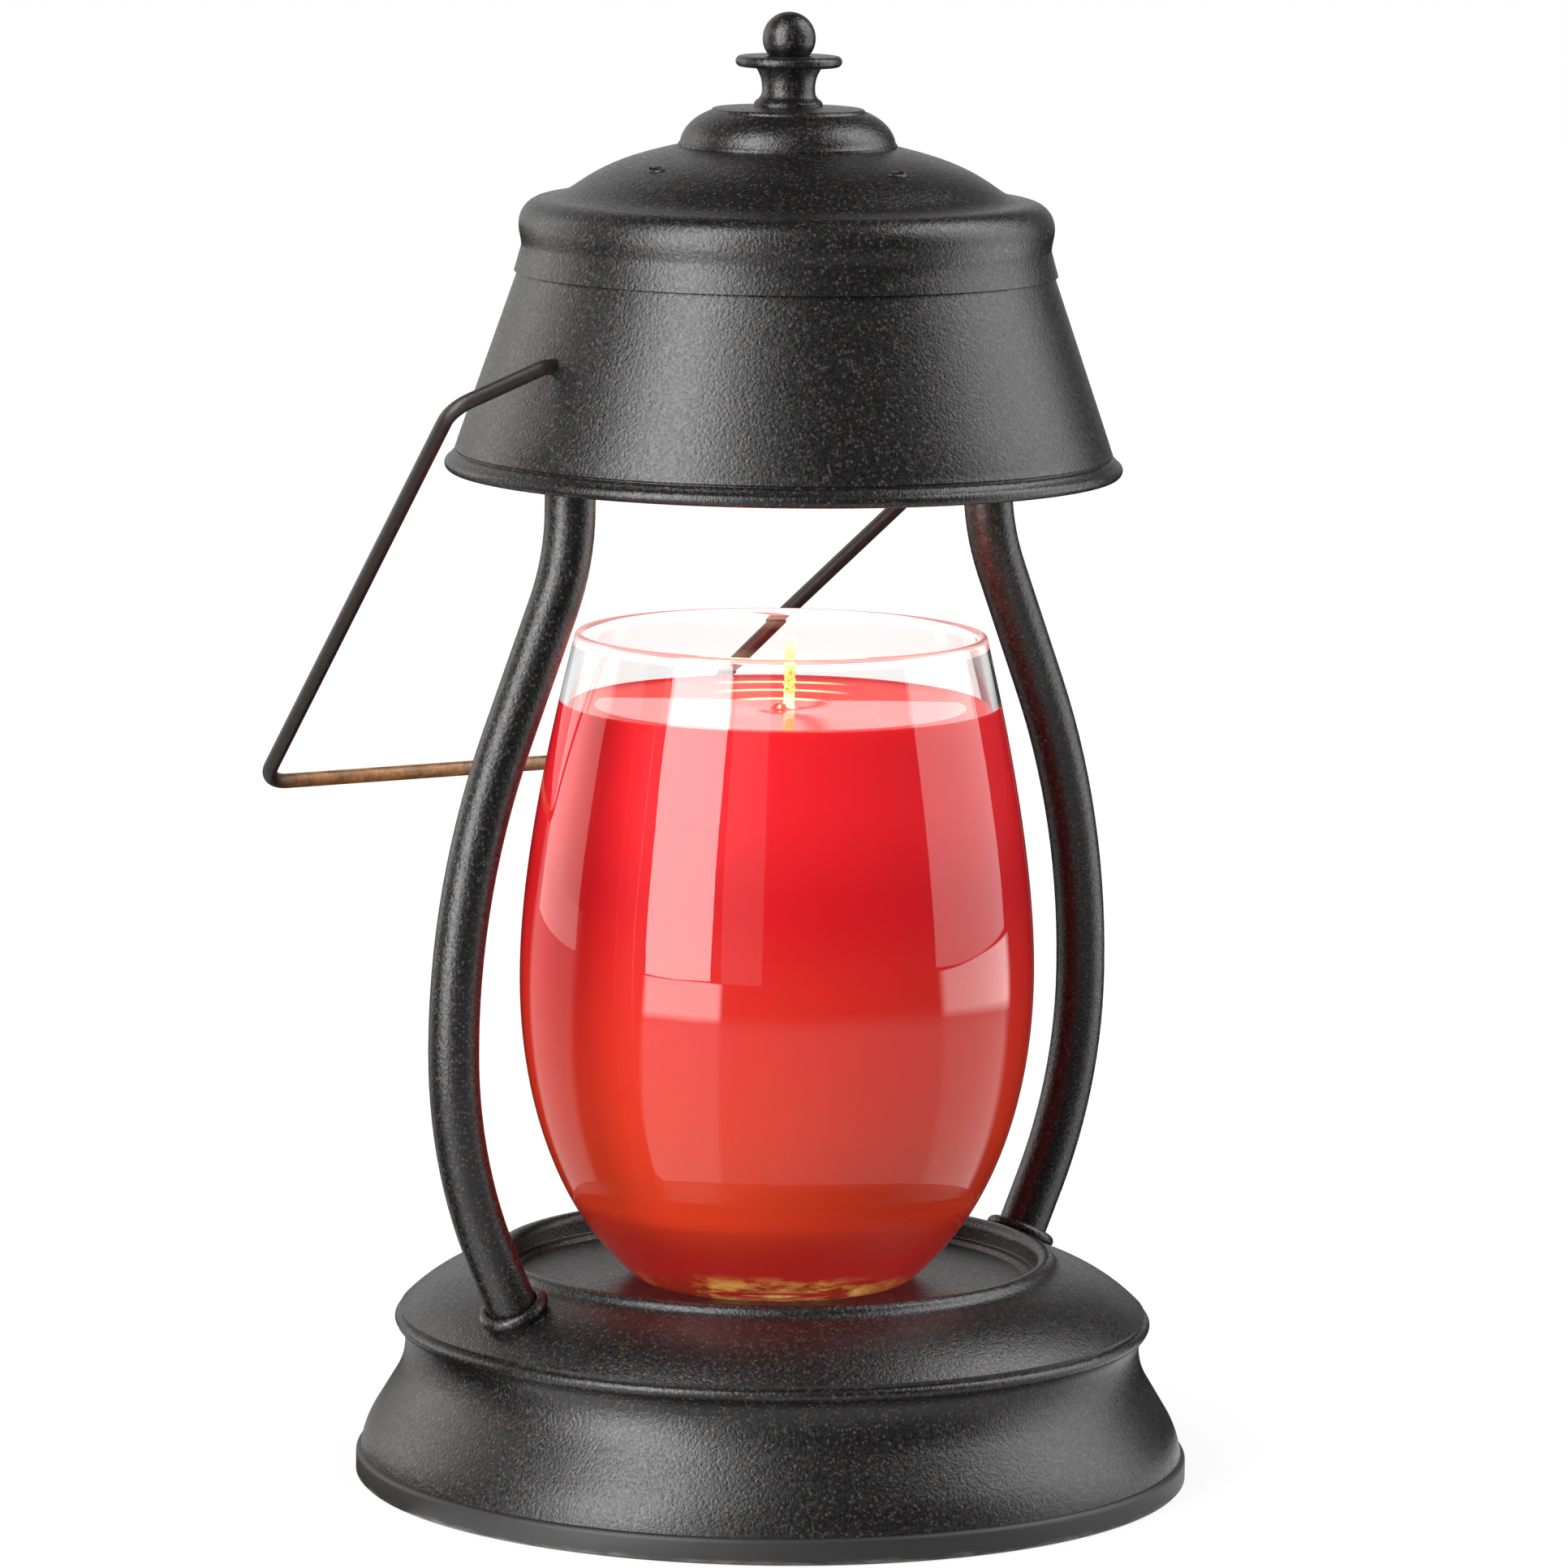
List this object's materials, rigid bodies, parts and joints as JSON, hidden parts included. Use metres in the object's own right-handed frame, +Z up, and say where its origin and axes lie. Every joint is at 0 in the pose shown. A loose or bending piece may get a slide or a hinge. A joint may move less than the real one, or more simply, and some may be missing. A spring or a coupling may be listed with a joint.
{
  "type": "candle warmer lamp",
  "caption": "Lantern-shaped table lamp that melts a jar candle from above, with a dished base, two bowed arms, a vented metal shade and a swinging wire bail.",
  "frame": {"origin": "on the lamp's axis at the table, at the centre of the felt under the base", "axes": "+Z up; the two arms stand at -X and +X; the candle goes in at the front, -Y; the bail hangs towards the back, +Y"},
  "size_m": [0.1814, 0.1987, 0.3075],
  "materials": {
    "powder_coat": "black powder coat, fine texture, satin",
    "bail_coat": "black-brown powder coat, rubbed to a coppery brown on the crossbar",
    "ring_plastic": "moulded, matt, scuffed",
    "felt": "pressed felt",
    "rubber": "matt",
    "cast_iron": "as cast",
    "zinc_steel": "zinc plated",
    "screw_steel": "zinc plated",
    "ceramic": "glazed steatite ceramic",
    "pin_metal": "nickel plated",
    "reflector_glass": "aluminised glass",
    "lens_glass": "clear, stippled",
    "quartz": "clear quartz",
    "jar_glass": "clear, polished",
    "wax": "translucent red wax, soft gloss",
    "wick_cotton": "braided cotton, waxed"
  },
  "bodies": {
    "stand": {"base_ring": "ring_plastic", "bottom_cover": "zinc_steel", "felt_pad": "felt", "cover_screw_1": "screw_steel", "cover_screw_2": "screw_steel", "cover_screw_3": "screw_steel", "cover_screw_4": "screw_steel", "ballast_weight": "cast_iron", "base_skirt": "powder_coat", "base_pan": "powder_coat", "cord_grommet": "rubber", "left_arm": "powder_coat", "right_arm": "powder_coat", "left_foot_collar": "powder_coat", "right_foot_collar": "powder_coat", "left_foot_washer": "screw_steel", "right_foot_washer": "screw_steel", "left_foot_bolt": "screw_steel", "right_foot_bolt": "screw_steel", "lamp_bridge": "zinc_steel", "left_bridge_screw": "screw_steel", "right_bridge_screw": "screw_steel", "lamp_holder": "ceramic", "left_holder_screw": "screw_steel", "right_holder_screw": "screw_steel", "shade_cone": "powder_coat", "shade_roof": "powder_coat", "roof_sleeve": "zinc_steel", "chimney_cap": "powder_coat", "finial_stud": "screw_steel", "finial_spool": "powder_coat", "finial_disc": "powder_coat", "finial_ball": "powder_coat"},
    "lamp": {"lamp_reflector": "reflector_glass", "lamp_lens": "lens_glass", "lamp_capsule": "quartz", "lamp_base": "ceramic", "lamp_pin_1": "pin_metal", "lamp_pin_2": "pin_metal"},
    "bail": {"bail_handle": "bail_coat"},
    "candle": {"candle_jar": "jar_glass", "candle_wax": "wax", "candle_wick": "wick_cotton", "wick_tab": "pin_metal"}
  },
  "joints": [
    {"name": "bail_swing", "type": "hinge", "parent": "stand", "child": "bail", "pos_m": [0, 0, 0.23713], "axis": [1, 0, 0], "range_deg": [-24, 288]},
    {"name": "lamp_twist", "type": "hinge", "parent": "stand", "child": "lamp", "pos_m": [0, 0, 0.2605], "axis": [0, 0, 1], "range_deg": [-20, 0]},
    {"name": "candle_lift", "type": "slide", "parent": "stand", "child": "candle", "axis": [0, -0.9703, 0.2419], "range_m": [0, 0.16]}
  ]
}
